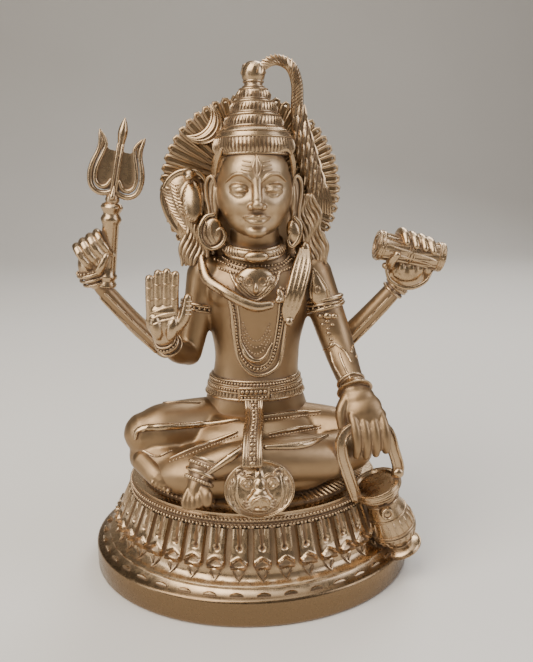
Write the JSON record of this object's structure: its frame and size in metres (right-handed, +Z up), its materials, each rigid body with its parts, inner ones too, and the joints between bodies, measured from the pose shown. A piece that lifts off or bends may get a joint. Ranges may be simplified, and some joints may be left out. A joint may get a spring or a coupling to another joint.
{
  "type": "shiva figure",
  "caption": "Cast brass figure of a seated deity with trident, drum and water pot on an oval lotus pedestal; it stands by its own weight.",
  "frame": {"origin": "middle of the pedestal's flat underside", "axes": "+Z up, the figure faces -Y, its right hand is on the -X side"},
  "size_m": [0.1416, 0.1102, 0.2011],
  "materials": {
    "brass": "polished on the high parts, browned in the carved recesses"
  },
  "bodies": {
    "root": {"shiva_figure": "brass"}
  },
  "joints": []
}
